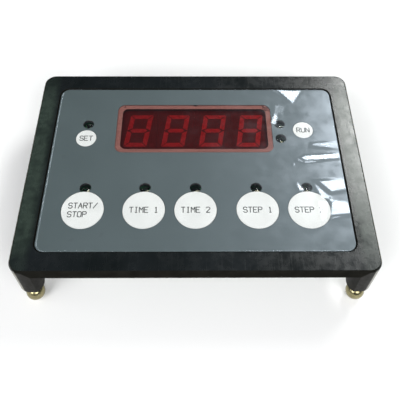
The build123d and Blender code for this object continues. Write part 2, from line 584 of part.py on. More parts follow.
save("board_spacers", *[board_spacer(x, y) for x, y in SPACER_PLACES])
save("board_screws", *[board_screw(x, y) for x, y in SPACER_PLACES])
save("microcontroller", dual_row_chip(MICROCONTROLLER))
save("display_driver", dual_row_chip(DRIVER))
save("resistor_networks", *[resistor_network(x, y) for x, y in NETWORK_PLACES])
save("capacitors", *[capacitor(x, y) for x, y in CAPACITOR_PLACES])
save("crystal", crystal())
save("voltage_regulator", voltage_regulator())
save("buzzer", buzzer())
save("header_shell", header_shell())
save("header_pins", *[header_pin(x, y) for x, y in header_pin_places()])
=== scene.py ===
import math
import bpy
from mathutils import Matrix, Vector, noise


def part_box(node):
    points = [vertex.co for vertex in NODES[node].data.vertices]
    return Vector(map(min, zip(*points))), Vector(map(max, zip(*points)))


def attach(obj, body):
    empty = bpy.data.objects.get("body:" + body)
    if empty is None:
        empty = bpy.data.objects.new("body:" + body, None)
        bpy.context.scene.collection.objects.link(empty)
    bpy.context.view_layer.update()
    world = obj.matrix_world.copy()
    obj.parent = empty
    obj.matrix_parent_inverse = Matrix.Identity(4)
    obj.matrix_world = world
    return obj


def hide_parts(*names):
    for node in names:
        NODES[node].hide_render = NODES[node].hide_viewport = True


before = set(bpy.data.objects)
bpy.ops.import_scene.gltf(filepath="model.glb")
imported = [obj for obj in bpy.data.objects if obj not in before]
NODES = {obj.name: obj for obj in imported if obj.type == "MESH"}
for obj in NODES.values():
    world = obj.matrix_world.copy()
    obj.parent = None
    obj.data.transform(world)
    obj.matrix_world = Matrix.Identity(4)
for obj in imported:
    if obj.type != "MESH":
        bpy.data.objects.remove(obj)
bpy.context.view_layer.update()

MM = 0.001
LARGE_KEYS = ["start_stop", "time_1", "time_2", "step_1", "step_2"]
SMALL_KEYS = ["set", "run"]
LEGENDS = {
    "start_stop": ["START/", "STOP"],
    "time_1": ["TIME 1"],
    "time_2": ["TIME 2"],
    "step_1": ["STEP 1"],
    "step_2": ["STEP 2"],
    "set": ["SET"],
    "run": ["RUN"],
}
LED_COUNT = 8
DIGIT_COUNT = 4
PANEL_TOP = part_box("graphic_overlay")[1].z

# Where the camera stands, and the window whose light the film and the frame mirror into it.
CAMERA_PLACE = Vector((0.1 * MM, -168.6 * MM, PANEL_TOP + 244.7 * MM))
CAMERA_ELEVATION = math.radians(53.2)
CAMERA_YAW = math.radians(0.70)
CAMERA_ROLL = math.radians(0.53)
CAMERA_LENS = 52.37
CAMERA_SHIFT = -0.15
WINDOW_RISE = 0.6


def mirrored(x, y):
    """The spot at the window's height that a flat panel mirrors into the camera at a point of it."""
    spot = Vector((x * MM, y * MM, PANEL_TOP))
    ray = spot - CAMERA_PLACE
    return spot + Vector((ray.x, ray.y, -ray.z)) * (WINDOW_RISE / -ray.z)


WINDOW_AIM = mirrored(91.0, 25.0)


# ---- small tools for meshes ----
def add_piece(name, mesh, material, body="root", smooth=True):
    """A new object with its material, riding on a body."""
    piece = bpy.data.objects.new(name, mesh)
    bpy.context.scene.collection.objects.link(piece)
    mesh.materials.clear()
    mesh.materials.append(material)
    for face in mesh.polygons:
        face.use_smooth = smooth
    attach(piece, body)
    return piece


def mesh_from(name, vertices, faces):
    mesh = bpy.data.meshes.new(name)
    mesh.from_pydata(vertices, [], faces)
    mesh.update()
    return mesh


def lathe(profile, centre, sides, vertices, faces):
    """Adds a closed turned shape to the lists: profile is (radius, height) from one pole to the other."""
    rings = []
    for radius, height in profile:
        if radius == 0:
            rings.append([len(vertices)])
            vertices.append((centre.x, centre.y, centre.z + height))
            continue
        first = len(vertices)
        for i in range(sides):
            a = 2 * math.pi * i / sides
            spot = (centre.x + radius * math.cos(a), centre.y + radius * math.sin(a), centre.z + height)
            vertices.append(spot)
        rings.append(list(range(first, first + sides)))
    for lower, upper in zip(rings, rings[1:]):
        for i in range(sides):
            j = (i + 1) % sides
            if len(lower) == 1:
                faces.append((lower[0], upper[j], upper[i]))
            elif len(upper) == 1:
                faces.append((lower[i], lower[j], upper[0]))
            else:
                faces.append((lower[i], lower[j], upper[j], upper[i]))


def loose_centres(node, above=None, below=None):
    """Plan centres of the separate stretches of a node above or below a height, such as its leads' ends."""
    spots = []
    for vertex in NODES[node].data.vertices:
        x, y, z = vertex.co
        if (above is not None and z < above) or (below is not None and z > below):
            continue
        for spot in spots:
            if abs(spot[0] - x) < 1.0 * MM and abs(spot[1] - y) < 1.0 * MM:
                spot[2] = min(spot[2], x)
                spot[3] = max(spot[3], x)
                spot[4] = min(spot[4], y)
                spot[5] = max(spot[5], y)
                break
        else:
            spots.append([x, y, x, x, y, y])
    return [((s[2] + s[3]) / 2, (s[4] + s[5]) / 2) for s in spots]


# ---- small tools for materials ----
class Look:
    """A material being built: one Principled shader and the nodes that feed it."""

    def __init__(self, name, colour, roughness, metallic=0.0, **sockets):
        self.material = bpy.data.materials.new(name)
        self.material.use_nodes = True
        self.tree = self.material.node_tree
        self.tree.nodes.clear()
        self.shader = self.node("ShaderNodeBsdfPrincipled")
        self.output = self.node("ShaderNodeOutputMaterial")
        self.link(self.shader.outputs[0], self.output.inputs["Surface"])
        self.set("Base Color", (*colour, 1.0))
        self.set("Roughness", roughness)
        self.set("Metallic", metallic)
        for socket, value in sockets.items():
            self.set(socket.replace("_", " "), value)
        self.place = self.node("ShaderNodeTexCoord").outputs["Object"]

    def node(self, kind, **settings):
        made = self.tree.nodes.new(kind)
        for key, value in settings.items():
            setattr(made, key, value)
        return made

    def link(self, source, target):
        self.tree.links.new(source, target)

    def set(self, socket, value):
        self.shader.inputs[socket].default_value = value

    def feed(self, socket, source):
        self.link(source, self.shader.inputs[socket])

    def noise(self, size, detail=2.0, stretch=(1, 1, 1), rough=0.5):
        """Noise whose lumps are about size metres across."""
        mapping = self.node("ShaderNodeMapping")
        mapping.inputs["Scale"].default_value = stretch
        self.link(self.place, mapping.inputs["Vector"])
        made = self.node("ShaderNodeTexNoise")
        made.inputs["Scale"].default_value = 1.0 / size
        made.inputs["Detail"].default_value = detail
        made.inputs["Roughness"].default_value = rough
        self.link(mapping.outputs[0], made.inputs["Vector"])
        return made.outputs["Fac"]

    def cells(self, size):
        """Distance to the nearest of many scattered points about size metres apart."""
        made = self.node("ShaderNodeTexVoronoi", feature="F1")
        made.inputs["Scale"].default_value = 1.0 / size
        self.link(self.place, made.inputs["Vector"])
        return made.outputs["Distance"]

    def math(self, operation, a, b=None, clamp=False):
        made = self.node("ShaderNodeMath", operation=operation, use_clamp=clamp)
        for index, value in enumerate((a, b)):
            if value is None:
                continue
            if isinstance(value, (int, float)):
                made.inputs[index].default_value = value
            else:
                self.link(value, made.inputs[index])
        return made.outputs[0]

    def ramp(self, value, low, high, start=0.0, end=1.0):
        """value mapped from low..high to start..end, clamped."""
        made = self.node("ShaderNodeMapRange")
        for socket, number in zip(("From Min", "From Max", "To Min", "To Max"), (low, high, start, end)):
            made.inputs[socket].default_value = number
        self.link(value, made.inputs["Value"])
        return made.outputs[0]

    def axis(self, name):
        split = self.node("ShaderNodeSeparateXYZ")
        self.link(self.place, split.inputs[0])
        return split.outputs[name]

    def mix(self, factor, first, second):
        """A colour between two, each a colour or a socket."""
        made = self.node("ShaderNodeMix", data_type="RGBA")
        self.link(factor, made.inputs["Factor"])
        for socket, value in (("A", first), ("B", second)):
            target = [s for s in made.inputs if s.name == socket and s.type == "RGBA"][0]
            if isinstance(value, tuple):
                target.default_value = (*value, 1.0)
            else:
                self.link(value, target)
        return [s for s in made.outputs if s.type == "RGBA"][0]

    def bump(self, height, distance, strength=1.0):
        made = self.node("ShaderNodeBump")
        made.inputs["Distance"].default_value = distance
        made.inputs["Strength"].default_value = strength
        self.link(height, made.inputs["Height"])
        self.feed("Normal", made.outputs[0])

    def lets_light_through(self, tint):
        """Lamps shine through the surface as through a clear sheet, tinted."""
        clear = self.node("ShaderNodeBsdfTransparent")
        clear.inputs[0].default_value = (*tint, 1.0)
        path = self.node("ShaderNodeLightPath")
        both = self.node("ShaderNodeMixShader")
        self.link(path.outputs["Is Shadow Ray"], both.inputs[0])
        self.link(self.shader.outputs[0], both.inputs[1])
        self.link(clear.outputs[0], both.inputs[2])
        self.link(both.outputs[0], self.output.inputs["Surface"])


def paint(node, material):
    """Gives a CAD node its material."""
    mesh = NODES[node].data
    mesh.materials.clear()
    mesh.materials.append(material)


def plain_look(name, colour, roughness, metallic=0.0, grain=0.4, depth=0.02, vary=0.25, **sockets):
    """A surface with a fine grain, and colour and roughness that vary a little over it."""
    look = Look(name, colour, roughness, metallic, **sockets)
    patches = look.noise(8 * MM, 3.0)
    darker = tuple(c * (1 - vary) for c in colour)
    lighter = tuple(min(1.0, c * (1 + vary)) for c in colour)
    look.feed("Base Color", look.mix(look.ramp(patches, 0.35, 0.65), darker, lighter))
    dullest = min(1.0, roughness * 1.15)
    look.feed("Roughness", look.ramp(look.noise(3 * MM, 4.0), 0.3, 0.7, roughness * 0.85, dullest))
    look.bump(look.noise(grain * MM, 2.0), depth * MM)
    return look.material


# ---- looks: frame and panel ----
def frame_look():
    """Black moulded plastic with a painted sheen along its outer edges, a painted highlight on the rim of its
    sides and a painted sheen on its side walls by the corners, with small dark pits and fine scratches.
    """
    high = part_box("front_bezel")[1]
    look = Look("moulded_black", (0.014, 0.018, 0.019), 0.28, Specular_IOR_Level=0.55)
    from_side = look.math("SUBTRACT", high.x, look.math("ABSOLUTE", look.axis("X")))
    from_end = look.math("SUBTRACT", high.y, look.math("ABSOLUTE", look.axis("Y")))
    edge = look.math("MINIMUM", from_side, from_end)
    blotch = look.noise(5 * MM, 4.0, rough=0.6)
    wide = look.noise(22 * MM, 2.0)
    # Painted sheen: a paler greenish band on the face near each side, weaker towards the ends and mottled by
    # the blotches.
    sheen_band = look.ramp(from_side, 6.5 * MM, 10 * MM, 1.0, 0.0)
    sheen_band = look.math("MULTIPLY", sheen_band, look.ramp(from_end, 5 * MM, 20 * MM, 0.3, 1.0))
    mottled_sheen = look.math("MULTIPLY", sheen_band, look.ramp(blotch, 0.30, 0.55, 0.45, 1.0))
    base = look.mix(look.ramp(wide, 0.35, 0.65), (0.004, 0.006, 0.0065), (0.009, 0.0115, 0.013))
    tone_with_painted_light = look.mix(mottled_sheen, base, (0.027, 0.040, 0.032))
    below = look.ramp(look.axis("Z"), high.z - 1.8 * MM, high.z - 0.8 * MM, 1.0, 0.0)
    # Painted highlight: a thin pale line on the rounded rim along the outer sides.
    rim_highlight = look.math("SUBTRACT", look.ramp(from_side, 0.1 * MM, 0.6 * MM, 1.0, 0.0), below, clamp=True)
    tone_with_painted_light = look.mix(rim_highlight, tone_with_painted_light, (0.11, 0.11, 0.075))
    # Painted sheen: pale olive on the side walls near the front and back corners, mottled by the blotches,
    # standing in for a grazing reflection.
    corner = look.math("MULTIPLY", below, look.ramp(from_end, 2.0 * MM, 5.0 * MM, 1.0, 0.0))
    corner = look.math("MULTIPLY", corner, look.ramp(blotch, 0.30, 0.55, 0.6, 1.0))
    tone_with_painted_light = look.mix(corner, tone_with_painted_light, (0.075, 0.070, 0.025))
    pits = look.ramp(look.cells(4.5 * MM), 0.05, 0.16, 1.0, 0.0)
    pitted = look.math("MULTIPLY", pits, look.ramp(edge, 0.5 * MM, 4.0 * MM, 0.8, 0.0))
    look.feed("Base Color", look.mix(pitted, tone_with_painted_light, (0.006, 0.006, 0.009)))
    scratch = look.noise(0.9 * MM, 3.0, stretch=(1.0, 0.06, 1.0))
    dull = look.ramp(blotch, 0.3, 0.7, 0.18, 0.33)
    look.feed("Roughness", look.math("ADD", dull, look.ramp(scratch, 0.55, 0.7, 0.0, 0.06)))
    grain = look.math("ADD", look.noise(0.6 * MM, 2.0), look.math("MULTIPLY", blotch, 1.5))
    look.bump(grain, 0.02 * MM)
    return look.material


def wall_look(name, shine):
    """The same plastic on the frame's walls and legs, where the mould left it dull."""
    look = Look(name, (0.011, 0.011, 0.009), 0.45, Specular_IOR_Level=shine)
    blotch = look.noise(6 * MM, 4.0, rough=0.6)
    tone = look.mix(look.ramp(blotch, 0.35, 0.65), (0.008, 0.0078, 0.0066), (0.012, 0.0117, 0.0098))
    look.feed("Base Color", tone)
    look.feed("Roughness", look.ramp(look.noise(2 * MM, 3.0), 0.3, 0.7, 0.4, 0.55))
    look.bump(look.noise(0.5 * MM, 2.0), 0.02 * MM)
    return look.material


SIDE_DEPTH = 4.5 * MM        # how far in from the frame's sides the glossy faces reach
FRAME_DEPTH = 6.2 * MM       # below this, down from the rim, are the legs and ribs


def paint_frame():
    """The frame's face and its sides, round to the corners, are glossier than its walls and legs."""
    paint("front_bezel", frame_look())
    mesh = NODES["front_bezel"].data
    mesh.materials.append(wall_look("moulded_wall", 0.0))
    mesh.materials.append(wall_look("moulded_leg", 0.06))
    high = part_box("front_bezel")[1]
    for face in mesh.polygons:
        outward = face.normal.x if face.center.x > 0 else -face.normal.x
        side = outward > 0.35 and abs(face.center.x) > high.x - SIDE_DEPTH
        if face.normal.z < 0.98 and not side:
            face.material_index = 1 if face.center.z > high.z - FRAME_DEPTH else 2


def overlay_look():
    """Grey printed film: a fine speckle and slight unevenness in the ink."""
    look = Look("printed_grey", (0.08, 0.11, 0.115), 0.52, Specular_IOR_Level=1.0, IOR=1.7)
    look.set("Specular Tint", (0.78, 0.85, 1.0, 1.0))
    uneven = look.noise(28 * MM, 2.0)
    speckle = look.noise(0.5 * MM, 2.0)
    tone = look.mix(look.ramp(uneven, 0.35, 0.65), (0.066, 0.095, 0.092), (0.076, 0.107, 0.105))
    look.feed("Base Color", look.mix(look.ramp(speckle, 0.45, 0.75, 0.0, 0.35), tone, (0.12, 0.15, 0.16)))
    look.feed("Roughness", look.ramp(speckle, 0.3, 0.7, 0.49, 0.56))
    look.bump(speckle, 0.01 * MM)
    return look.material


def film_look():
    """Clear glossy film: a faint mirror, slightly hazy in places, that shows what is under it."""
    look = Look("clear_film", (0.40, 0.44, 0.50), 0.15, 1.0, Alpha=0.08)
    look.feed("Roughness", look.ramp(look.noise(6 * MM, 4.0), 0.35, 0.7, 0.14, 0.28))
    look.bump(look.noise(2.5 * MM, 3.0), 0.010 * MM)
    return look.material


def window_look():
    """Smoky red filter: tinted where one looks through it, glossy on its faces."""
    look = Look("red_filter", (0.50, 0.45, 0.45), 0.05, 1.0)
    look.feed("Roughness", look.ramp(look.noise(5 * MM, 3.0), 0.35, 0.7, 0.04, 0.10))
    look.bump(look.noise(3 * MM, 2.0), 0.004 * MM)
    clear = look.node("ShaderNodeBsdfTransparent")
    clear.inputs[0].default_value = (0.88, 0.70, 0.68, 1.0)
    both = look.node("ShaderNodeMixShader")
    both.inputs[0].default_value = 0.94
    look.link(look.shader.outputs[0], both.inputs[1])
    look.link(clear.outputs[0], both.inputs[2])
    look.link(both.outputs[0], look.output.inputs["Surface"])
    return look.material


def plate_look():
    """Aluminium plate: pale adhesive on its face; its edges and back are painted near-black as painted shade,
    so the walls of its holes read dark.
    """
    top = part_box("backing_plate")[1].z
    look = Look("plate", (0.70, 0.66, 0.64), 0.6)
    face = look.ramp(look.axis("Z"), top - 0.06 * MM, top - 0.02 * MM)
    streaks = look.noise(1.5 * MM, 3.0, stretch=(0.05, 1.0, 1.0))
    pale = look.mix(look.ramp(streaks, 0.3, 0.7), (0.43, 0.38, 0.355), (0.52, 0.47, 0.44))
    # Painted shade: every face but the top is near-black, darkening the walls of the holes and the cut-out.
    look.feed("Base Color", look.mix(face, (0.020, 0.020, 0.022), pale))
    look.feed("Roughness", look.ramp(streaks, 0.3, 0.7, 0.45, 0.65))
    look.bump(streaks, 0.01 * MM)
    return look.material


def cap_look():
    return plain_look("key_white", (0.87, 0.89, 0.87), 0.42, grain=0.6, depth=0.008, vary=0.03)


def ink_look():
    look = Look("key_ink", (0.045, 0.052, 0.052), 0.6)
    fade = look.noise(0.7 * MM, 3.0)
    look.feed("Base Color", look.mix(look.ramp(fade, 0.35, 0.75), (0.030, 0.036, 0.037), (0.09, 0.10, 0.10)))
    return look.material


# ---- looks: display and LEDs ----
def module_look():
    look = Look("module_face", (0.09, 0.012, 0.014), 0.5, Specular_IOR_Level=0.25)
    speckle = look.noise(0.6 * MM, 3.0)
    tone = look.mix(look.ramp(speckle, 0.35, 0.65), (0.080, 0.010, 0.012), (0.105, 0.015, 0.018))
    look.feed("Base Color", tone)
    look.bump(speckle, 0.01 * MM)
    return look.material


def segment_look(number):
    """Red segments that are off, painted a little lighter digit by digit towards the right as painted light.
    The decimal point, at the lower right, is hardly paler than the module.
    """
    low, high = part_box(f"digit_segments_{number}")
    # Painted light: the red gains brightness with the digit's number, as if lit from the right.
    paler = 0.94 + 0.07 * number
    look = Look(f"segment_red_{number}", (0.40, 0.02, 0.03), 0.35, Specular_IOR_Level=0.3)
    haze = look.noise(1.6 * MM, 3.0)
    dull = (0.30 * paler, 0.016 * paler, 0.022 * paler)
    clear = (0.42 * paler, 0.032 * paler, 0.042 * paler)
    red = look.mix(look.ramp(haze, 0.35, 0.65), dull, clear)
    right = look.ramp(look.axis("X"), high.x - 2.6 * MM, high.x - 2.3 * MM)
    foot = look.ramp(look.axis("Y"), low.y + 3.3 * MM, low.y + 3.6 * MM, 1.0, 0.0)
    look.feed("Base Color", look.mix(look.math("MULTIPLY", right, foot), red, (0.125, 0.014, 0.018)))
    look.feed("Roughness", look.ramp(haze, 0.3, 0.7, 0.28, 0.42))
    look.bump(look.noise(0.4 * MM, 2.0), 0.006 * MM)
    return look.material


def lens_look():
    look = Look("led_lens", (0.93, 0.93, 0.88), 0.05, Transmission_Weight=1.0, IOR=1.5)
    look.feed("Roughness", look.ramp(look.noise(1.2 * MM, 2.0), 0.3, 0.7, 0.04, 0.10))
    look.lets_light_through((0.9, 0.9, 0.86))
    return look.material


def bright_metal_look(name, colour, roughness):
    look = Look(name, colour, roughness, 1.0)
    wipe = look.noise(1.4 * MM, 4.0, rough=0.65)
    darker = tuple(c * 0.75 for c in colour)
    look.feed("Base Color", look.mix(look.ramp(wipe, 0.3, 0.7), darker, colour))
    look.feed("Roughness", look.ramp(wipe, 0.3, 0.75, roughness * 0.7, roughness * 1.6))
    look.bump(look.noise(0.5 * MM, 3.0), 0.004 * MM)
    return look.material


# ---- looks: electronics ----
def board_look():
    """Green solder mask with paler tracks under it and a fine weave."""
    look = Look("solder_mask", (0.012, 0.10, 0.045), 0.32, Coat_Weight=0.4, Coat_Roughness=0.15)
    mapping = look.node("ShaderNodeMapping")
    mapping.inputs["Scale"].default_value = (1.0, 2.2, 1.0)
    look.link(look.place, mapping.inputs["Vector"])
    cells = look.node("ShaderNodeTexVoronoi", feature="DISTANCE_TO_EDGE", distance="CHEBYCHEV")
    cells.inputs["Scale"].default_value = 1.0 / (5.5 * MM)
    look.link(mapping.outputs[0], cells.inputs["Vector"])
    tracks = look.ramp(cells.outputs["Distance"], 0.03, 0.06, 1.0, 0.0)
    weave = look.noise(0.5 * MM, 1.0)
    base = look.mix(look.ramp(weave, 0.4, 0.6), (0.008, 0.072, 0.032), (0.012, 0.095, 0.042))
    look.feed("Base Color", look.mix(tracks, base, (0.028, 0.17, 0.07)))
    look.bump(look.math("ADD", tracks, look.math("MULTIPLY", weave, 0.3)), 0.02 * MM)
    return look.material


def network_look():
    return plain_look("network_dip", (0.50, 0.28, 0.05), 0.3, depth=0.03, vary=0.12)


# ---- the film's waves and creases ----
# Flat creased patches that lean towards the window and shine: how far they lean (1 = fully), how wide
# their soft edge is, and their corners over the panel, counter-clockwise, all in millimetres.
PATCHES = [
    (1.0, 1.2, [(44.5, 48.6), (53.2, 39.8), (59.1, 48.6)]),
    (0.9, 1.2, [(39.9, 25.1), (42.2, 25.0), (45.2, 33.0), (43.0, 33.6)]),
    (0.5, 2.6, [(43.0, 33.6), (47.5, 32.6), (48.2, 36.4), (43.6, 37.4)]),
    (0.6, 1.6, [(60.6, 10.4), (69.8, 9.4), (75.5, 9.1), (75.5, 13.2), (60.9, 11.6)]),
    (1.0, 0.9, [(52.5, 1.8), (55.9, 0.3), (75.0, 2.8), (75.2, 5.9), (56.3, 4.0)]),
    (1.0, 0.4, [(49.3, -1.9), (50.5, -1.9), (50.5, -0.7), (49.3, -0.7)]),
    (1.0, 0.6, [(51.0, -17.4), (53.0, -16.8), (51.4, -12.4), (49.6, -13.4)]),
    (1.0, 1.8, [(61.5, -21.7), (64.7, -21.7), (66.2, -17.7), (61.0, -11.8), (59.3, -13.6)]),
    (1.0, 2.2, [(66.6, -17.7), (75.0, -15.4), (74.7, -10.7), (61.6, -11.8)]),
    (0.9, 1.8, [(59.6, -34.4), (64.6, -31.1), (66.5, -23.8), (59.6, -23.4)]),
    (1.0, 2.2, [(64.6, -31.1), (76.1, -29.5), (76.0, -24.0), (66.5, -23.8)]),
]


def lean(x, y):
    """The slopes with which the film mirrors the window into the camera at a point of the panel."""
    spot = Vector((x * MM, y * MM, PANEL_TOP))
    half = (CAMERA_PLACE - spot).normalized() + (WINDOW_AIM - spot).normalized()
    return -half.x / half.z, -half.y / half.z


def patch_shape(share, corners):
    """A patch's middle, its two slopes there and how the first changes across it."""
    x = sum(c[0] for c in corners) / len(corners)
    y = sum(c[1] for c in corners) / len(corners)
    slope_x, slope_y = (share * slope for slope in lean(x, y))
    bend = share * (lean(x + 1, y)[0] - lean(x - 1, y)[0]) / 2
    return x, y, slope_x, slope_y, bend


def patch_height(shape, x, y):
    mid_x, mid_y, slope_x, slope_y, bend = shape
    return slope_x * (x - mid_x) + bend * (x - mid_x) ** 2 / 2 + slope_y * (y - mid_y)


SHAPES = [patch_shape(share, corners) for share, edge, corners in PATCHES]
LIFTS = [-min(patch_height(shape, x, y) for x, y in patch[2]) for patch, shape in zip(PATCHES, SHAPES)]


def depth_inside(x, y, corners):
    """How far a point lies inside a convex outline, negative outside."""
    depth = 1e9
    for (ax, ay), (bx, by) in zip(corners, corners[1:] + corners[:1]):
        depth = min(depth, ((bx - ax) * (y - ay) - (by - ay) * (x - ax)) / math.hypot(bx - ax, by - ay))
    return depth


def smooth_step(t):
    t = min(1.0, max(0.0, t))
    return t * t * (3 - 2 * t)


PATCH_REACH = 20


def film_rise(x, y):
    """How far the film stands off the overlay at a point, all in millimetres."""
    swell = 0.06 * (1 + math.sin(x / 17 + 1.3 * math.sin(y / 23)) * math.cos(y / 13))
    swell += 0.03 * noise.noise(Vector((x / 9, y / 7, 3.7)))
    for (_, edge, corners), shape, lift in zip(PATCHES, SHAPES, LIFTS):
        if abs(x - shape[0]) > PATCH_REACH or abs(y - shape[1]) > PATCH_REACH:
            continue
        inside = smooth_step(depth_inside(x, y, corners) / edge + 1.0)
        if inside > 0:
            swell = swell * (1 - inside) + inside * max(0.0, lift + 0.05 + patch_height(shape, x, y))
    return max(0.0, swell)


FILM_GAP = 0.02
FILM_THICK = 0.04
FILM_CORNER = 4.5
FINE_STEP, COARSE_STEP = 0.6, 1.6
CREASED_FROM = 37            # the creased stretch of the film begins at this x


def film_columns(half):
    """Places across the film from one edge to the other: close together where it is creased."""
    places = [-half]
    while places[-1] < half - 0.4:
        places.append(places[-1] + (FINE_STEP if places[-1] > CREASED_FROM else COARSE_STEP))
    places[-1] = half
    return places


def wavy_film():
    """The clear film as one closed sheet with rounded corners, wavy and creased."""
    low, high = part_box("clear_film")
    half_x, half_y = high.x / MM, high.y / MM
    places = film_columns(half_x)
    columns = len(places) - 1
    rows = round(2 * half_y / FINE_STEP)
    vertices, faces = [], []
    for thickness in (FILM_THICK, 0.0):
        for j in range(rows + 1):
            y = -half_y + 2 * half_y * j / rows
            into = max(0.0, abs(y) - (half_y - FILM_CORNER))
            width = half_x - FILM_CORNER + math.sqrt(max(0.0, FILM_CORNER ** 2 - into ** 2))
            for place in places:
                x = width * place / half_x
                height = FILM_GAP + film_rise(x, y) + thickness
                vertices.append((x * MM, y * MM, low.z + height * MM))
    row = columns + 1
    count = row * (rows + 1)
    for j in range(rows):
        for i in range(columns):
            a = j * row + i
            faces.append((a, a + 1, a + row + 1, a + row))
            faces.append((count + a, count + a + row, count + a + row + 1, count + a + 1))
    rim = list(range(columns)) + [columns + j * row for j in range(rows)]
    rim += [rows * row + i for i in range(columns, 0, -1)] + [j * row for j in range(rows, 0, -1)]
    for a, b in zip(rim, rim[1:] + rim[:1]):
        faces.append((a, count + a, count + b, b))
    piece = add_piece("film_sheet", mesh_from("film_sheet", vertices, faces), film_look())
    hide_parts("clear_film")


# ---- legends ----
GRID_WIDE, GRID_HIGH = 4, 6
# Single-stroke letters on that grid.
STROKES = {
    "A": [[(0, 0), (2, 6), (4, 0)], [(0.8, 2.4), (3.2, 2.4)]],
    "E": [[(4, 6), (0, 6), (0, 0), (4, 0)], [(0, 3), (3, 3)]],
    "I": [[(1, 6), (3, 6)], [(2, 6), (2, 0)], [(1, 0), (3, 0)]],
    "M": [[(0, 0), (0, 6), (2, 3), (4, 6), (4, 0)]],
    "N": [[(0, 0), (0, 6), (4, 0), (4, 6)]],
    "O": [[(1, 0), (0, 1), (0, 5), (1, 6), (3, 6), (4, 5), (4, 1), (3, 0), (1, 0)]],
    "P": [[(0, 0), (0, 6), (3, 6), (4, 5), (4, 4), (3, 3), (0, 3)]],
    "R": [[(0, 0), (0, 6), (3, 6), (4, 5), (4, 4), (3, 3), (0, 3)], [(2, 3), (4, 0)]],
    "S": [[(4, 5), (3, 6), (1, 6), (0, 5), (0, 4), (1, 3), (3, 3), (4, 2), (4, 1), (3, 0), (1, 0), (0, 1)]],
    "T": [[(0, 6), (4, 6)], [(2, 6), (2, 0)]],
    "U": [[(0, 6), (0, 1), (1, 0), (3, 0), (4, 1), (4, 6)]],
    "1": [[(1, 5), (2, 6), (2, 0)], [(1, 0), (3, 0)]],
    "2": [[(0, 5), (1, 6), (3, 6), (4, 5), (4, 4), (0, 0), (4, 0)]],
    "/": [[(0, 0), (4, 6)]],
    " ": [],
}
LETTER_HIGH = 2.9 * MM
LETTER_WIDE = 1.8 * MM
LETTER_STEP = 2.4 * MM
LINE_STEP = 4.8 * MM
STROKE_RADIUS = 0.22 * MM
INK_FLATTEN = 0.12


def legend(key):
    """The words on a key, as thin flat strokes on its cap."""
    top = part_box(f"key_cap_{key}")[1].z
    cap_middle = cap_centre(key)
    lines = LEGENDS[key]
    grid_x = LETTER_WIDE / GRID_WIDE
    grid_y = LETTER_HIGH / GRID_HIGH
    width = (len(lines[0]) - 1) * LETTER_STEP + LETTER_WIDE
    curve = bpy.data.curves.new(f"strokes_{key}", "CURVE")
    curve.dimensions = "3D"
    curve.bevel_depth = STROKE_RADIUS
    curve.bevel_resolution = 1
    curve.use_fill_caps = True
    for row, words in enumerate(lines):
        base_y = cap_middle[1] - LETTER_HIGH / 2 + ((len(lines) - 1) / 2 - row) * LINE_STEP
        for place, letter in enumerate(words):
            base_x = cap_middle[0] - width / 2 + place * LETTER_STEP
            for stroke in STROKES[letter]:
                spots = [Vector((base_x + gx * grid_x, base_y + gy * grid_y)) for gx, gy in stroke]
                for start, end in zip(spots, spots[1:]):
                    reach = (end - start).normalized() * STROKE_RADIUS / 2
                    spline = curve.splines.new("POLY")
                    spline.points.add(1)
                    spline.points[0].co = (*(start - reach), 0.0, 1.0)
                    spline.points[1].co = (*(end + reach), 0.0, 1.0)
    holder = bpy.data.objects.new(f"strokes_{key}", curve)
    bpy.context.scene.collection.objects.link(holder)
    bpy.context.view_layer.update()
    depsgraph = bpy.context.evaluated_depsgraph_get()
    mesh = bpy.data.meshes.new_from_object(holder.evaluated_get(depsgraph))
    bpy.data.objects.remove(holder)
    for vertex in mesh.vertices:
        vertex.co.z = top + vertex.co.z * INK_FLATTEN + STROKE_RADIUS * INK_FLATTEN * 0.5
    add_piece(f"legend_{key}", mesh, INK, body=f"key_{key}")


def cap_centre(key):
    """The middle of a key's round cap, without its lugs."""
    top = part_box(f"key_cap_{key}")[1].z
    rim = [v.co for v in NODES[f"key_cap_{key}"].data.vertices if v.co.z > top - 0.01 * MM]
    xs = [c.x for c in rim]
    ys = [c.y for c in rim]
    return (min(xs) + max(xs)) / 2, (min(ys) + max(ys)) / 2


# ---- LED cores ----
def led_cores():
    """In each LED, the small metal cup and post that show through its lens."""
    vertices, faces = [], []
    for number in range(1, LED_COUNT + 1):
        low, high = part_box(f"indicator_led_{number}")
        tall = (high.z - low.z) / MM
        root = tall - 0.4
        centre = Vector(((low.x + high.x) / 2, (low.y + high.y) / 2, high.z))
        cup = [(0, root), (0.4, root), (0.4, 5.0), (0.6, 4.2), (0.85, 2.9), (0.75, 2.9), (0.4, 3.6), (0, 3.6)]
        post = [(0, root), (0.22, root), (0.22, 4.2), (0.36, 3.7), (0.36, 2.8), (0, 2.8)]
        for offset, profile in ((0.45, cup), (-0.9, post)):
            spot = centre + Vector((offset * MM, 0, 0))
            lathe([(r * MM, -drop * MM) for r, drop in profile], spot, 20, vertices, faces)
    add_piece("led_cores", mesh_from("led_cores", vertices, faces), CORE)


# ---- solder joints under and over the board ----
def solder_joints():
    low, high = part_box("circuit_board")
    fillet = [(0, 0.78), (0.30, 0.78), (0.36, 0.5), (0.55, 0.22), (0.85, 0.06), (0.95, 0.0), (0, 0.0)]
    vertices, faces = [], []
    from_above = ["switch_leads", "digit_pins", "led_leads"]
    from_below = ["microcontroller", "display_driver", "resistor_networks", "capacitors", "crystal",
                  "voltage_regulator", "buzzer", "header_pins"]
    for node in from_above:
        for x, y in loose_centres(node, below=low.z - 0.5 * MM):
            profile = [(r * MM, -h * MM) for r, h in fillet]
            lathe(profile, Vector((x, y, low.z)), 12, vertices, faces)
    for node in from_below:
        for x, y in loose_centres(node, above=high.z + 0.5 * MM):
            profile = [(r * MM, h * MM) for r, h in reversed(fillet)]
            lathe(profile, Vector((x, y, high.z)), 12, vertices, faces)
    add_piece("solder_joints", mesh_from("solder_joints", vertices, faces), TIN)


